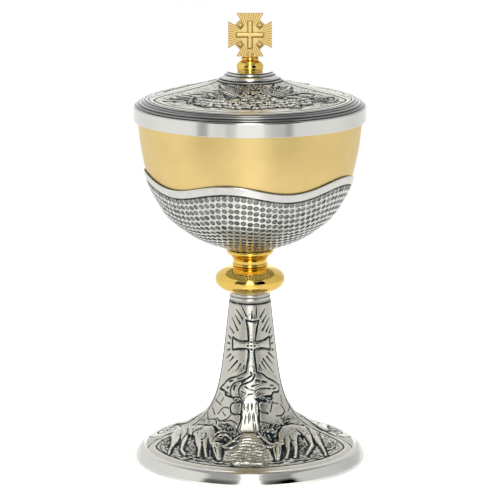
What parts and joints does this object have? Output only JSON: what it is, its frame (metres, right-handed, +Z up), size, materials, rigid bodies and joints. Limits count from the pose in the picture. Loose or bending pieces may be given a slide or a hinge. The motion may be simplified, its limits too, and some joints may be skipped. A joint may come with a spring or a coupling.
{
  "type": "ciborium",
  "caption": "Lidded altar vessel: round gilt cup in a hammered silver calyx with a wavy edge, on a gilt knop and a flared foot, with a low domed lid topped by a cross.",
  "frame": {"origin": "centre of the foot's base, on the surface that the vessel stands on", "axes": "+Z up the common axis of foot, stem, cup and lid; -Y is the front, which the cross and the main relief face; +X to the right"},
  "size_m": [0.1224, 0.1224, 0.24],
  "materials": {
    "satin_gilt": "gold-plated brass, spun and satin brushed",
    "polished_gilt": "gold-plated brass, mirror polished",
    "cast_gilt": "gold-plated casting, bright on the ridges",
    "chased_silver": "silver-plated brass, chased, darkened in the recesses",
    "hammered_silver": "silver-plated brass, hammered, darkened in the dimples",
    "polished_silver": "silver-plated brass, turned and polished",
    "plain_steel": "zinc-plated steel fixings"
  },
  "bodies": {
    "vessel": {"cup_bowl": "satin_gilt", "cup_boss": "polished_gilt", "calyx": "hammered_silver", "neck_collar": "polished_gilt", "neck_ring": "polished_gilt", "knop": "polished_gilt", "foot_shell": "chased_silver", "foot_rim": "polished_silver", "stem_plate": "plain_steel", "clamp_plate": "plain_steel", "tie_rod": "plain_steel", "spring_washer": "plain_steel", "tie_nut": "plain_steel"},
    "lid_seat": {"lid_flange": "satin_gilt"},
    "lid": {"finial_cross": "cast_gilt", "finial_knob": "polished_gilt", "lid_boss": "polished_silver", "lid_dome": "chased_silver", "lid_rim": "polished_silver", "lid_washer": "plain_steel", "lid_nut": "plain_steel"}
  },
  "joints": [
    {"name": "lid_lift", "type": "slide", "parent": "vessel", "child": "lid_seat", "axis": [0, 0, 1], "range_m": [0, 0.08]},
    {"name": "lid_turn", "type": "hinge", "parent": "lid_seat", "child": "lid", "pos_m": [0, 0, 0.19], "axis": [0, 0, 1], "continuous": true}
  ]
}
